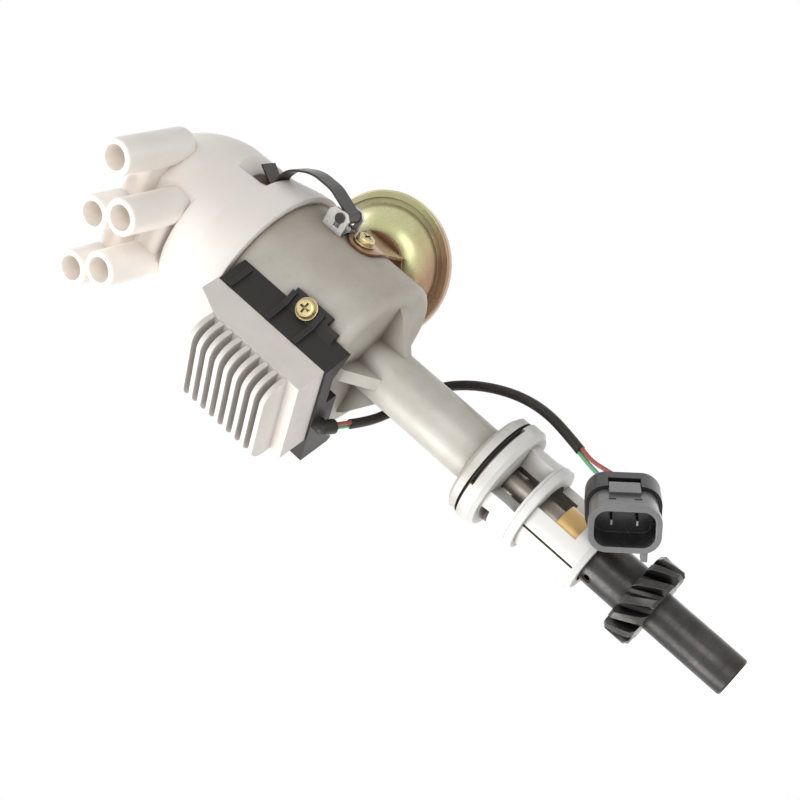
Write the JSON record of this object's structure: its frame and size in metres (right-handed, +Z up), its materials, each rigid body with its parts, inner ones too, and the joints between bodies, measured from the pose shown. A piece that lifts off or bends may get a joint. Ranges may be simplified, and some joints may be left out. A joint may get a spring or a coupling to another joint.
{
  "type": "ignition distributor",
  "caption": "Ignition distributor with side-tower cap, clip-on finned ignition module, vacuum canister, windowed collar, helical drive gear and a plug on a short harness.",
  "frame": {"origin": "on the shaft's axis, at the lower face of the lower flange, which seats on the engine", "axes": "+Z up the shaft towards the cap; -Y is the side that the picture shows"},
  "size_m": [0.1382, 0.1586, 0.3483],
  "materials": {
    "cast_aluminium": "satin cast",
    "cooler_aluminium": "bead blasted",
    "cap_plastic": "moulded white",
    "black_plastic": "fine grain",
    "brown_plastic": "moulded",
    "ring_rubber": "matt",
    "spring_steel": "blackened",
    "bright_steel": "bright sheet",
    "yellow_zinc": "yellow zinc",
    "canister_zinc": "yellow-green zinc",
    "copper_zinc": "coppery zinc",
    "shaft_steel": "ground",
    "gear_steel": "blackened",
    "bronze": "sintered",
    "brass": "bright",
    "iron": "sintered",
    "carbon": "carbon",
    "cable_plastic": "braided sleeve",
    "red_plastic": "insulation",
    "green_plastic": "insulation",
    "plug_plastic": "moulded grey"
  },
  "bodies": {
    "base": {"housing": "cast_aluminium", "seal_ring": "ring_rubber", "lower_bush": "bronze", "upper_bush": "bronze", "thrust_washer": "shaft_steel", "pickup_base": "bright_steel", "base_screws": "yellow_zinc", "canister_inner_shell": "canister_zinc", "canister_outer_shell": "canister_zinc", "diaphragm": "ring_rubber", "diaphragm_spring": "spring_steel", "hose_nipple": "brass", "canister_bracket": "copper_zinc", "bracket_screws": "yellow_zinc", "heat_sink": "cooler_aluminium", "module_case": "black_plastic", "module_screws": "yellow_zinc", "clip_brackets": "bright_steel", "clip_pins": "shaft_steel", "distributor_cap": "cap_plastic", "plug_terminals": "brass", "coil_terminal": "brass", "brush_spring": "spring_steel", "cable_sleeve": "cable_plastic", "green_wire": "green_plastic", "red_wire": "red_plastic", "connector_body": "plug_plastic", "connector_lock": "black_plastic", "connector_pins": "brass"},
    "shaft": {"main_shaft": "shaft_steel", "drive_gear": "gear_steel", "roll_pin": "gear_steel", "governor_plate": "bright_steel", "governor_springs": "spring_steel"},
    "advance": {"cam_sleeve": "shaft_steel", "reluctor": "iron", "rotor": "brown_plastic", "rotor_contact": "brass"},
    "weight_a": {"governor_weight_a": "iron"},
    "weight_b": {"governor_weight_b": "iron"},
    "pickup": {"pickup_plate": "bright_steel", "pickup_core": "iron", "pickup_coil": "black_plastic"},
    "vacuum_link": {"link_rod": "bright_steel", "diaphragm_plate": "bright_steel"},
    "clip_front": {"clip_front": "spring_steel"},
    "clip_rear": {"clip_rear": "spring_steel"},
    "brush": {"carbon_brush": "carbon"}
  },
  "joints": [
    {"name": "shaft_spin", "type": "hinge", "parent": "base", "child": "shaft", "pos_m": [0, 0, 0], "axis": [0, 0, 1], "continuous": true},
    {"name": "spark_advance", "type": "hinge", "parent": "shaft", "child": "advance", "pos_m": [0, 0, 0.13], "axis": [0, 0, 1], "range_deg": [-10, 0]},
    {"name": "weight_a_swing", "type": "hinge", "parent": "shaft", "child": "weight_a", "pos_m": [0.018, 0, 0.102], "axis": [0, 0, 1], "range_deg": [0, 14]},
    {"name": "weight_b_swing", "type": "hinge", "parent": "shaft", "child": "weight_b", "pos_m": [-0.018, 0, 0.102], "axis": [0, 0, 1], "range_deg": [0, 14]},
    {"name": "vacuum_advance", "type": "hinge", "parent": "base", "child": "pickup", "pos_m": [0, 0, 0.128], "axis": [0, 0, 1], "range_deg": [0, 7]},
    {"name": "link_pull", "type": "slide", "parent": "base", "child": "vacuum_link", "axis": [0.3256, 0.9455, 0], "range_m": [0, 0.0022]},
    {"name": "clip_front_swing", "type": "hinge", "parent": "base", "child": "clip_front", "pos_m": [0.04081, -0.02079, 0.1278], "axis": [0.454, 0.891, 0], "range_deg": [0, 80]},
    {"name": "clip_rear_swing", "type": "hinge", "parent": "base", "child": "clip_rear", "pos_m": [-0.04081, 0.02079, 0.1278], "axis": [-0.454, -0.891, 0], "range_deg": [0, 80]},
    {"name": "brush_press", "type": "slide", "parent": "base", "child": "brush", "axis": [0, 0, 1], "range_m": [0, 0.0012], "deforming": ["brush_spring"]}
  ],
  "couplings": [
    {"joint": "weight_a_swing", "follows": "spark_advance", "ratio": -1.4},
    {"joint": "weight_b_swing", "follows": "spark_advance", "ratio": -1.4},
    {"joint": "link_pull", "follows": "vacuum_advance", "m_per_rad": 0.018}
  ]
}
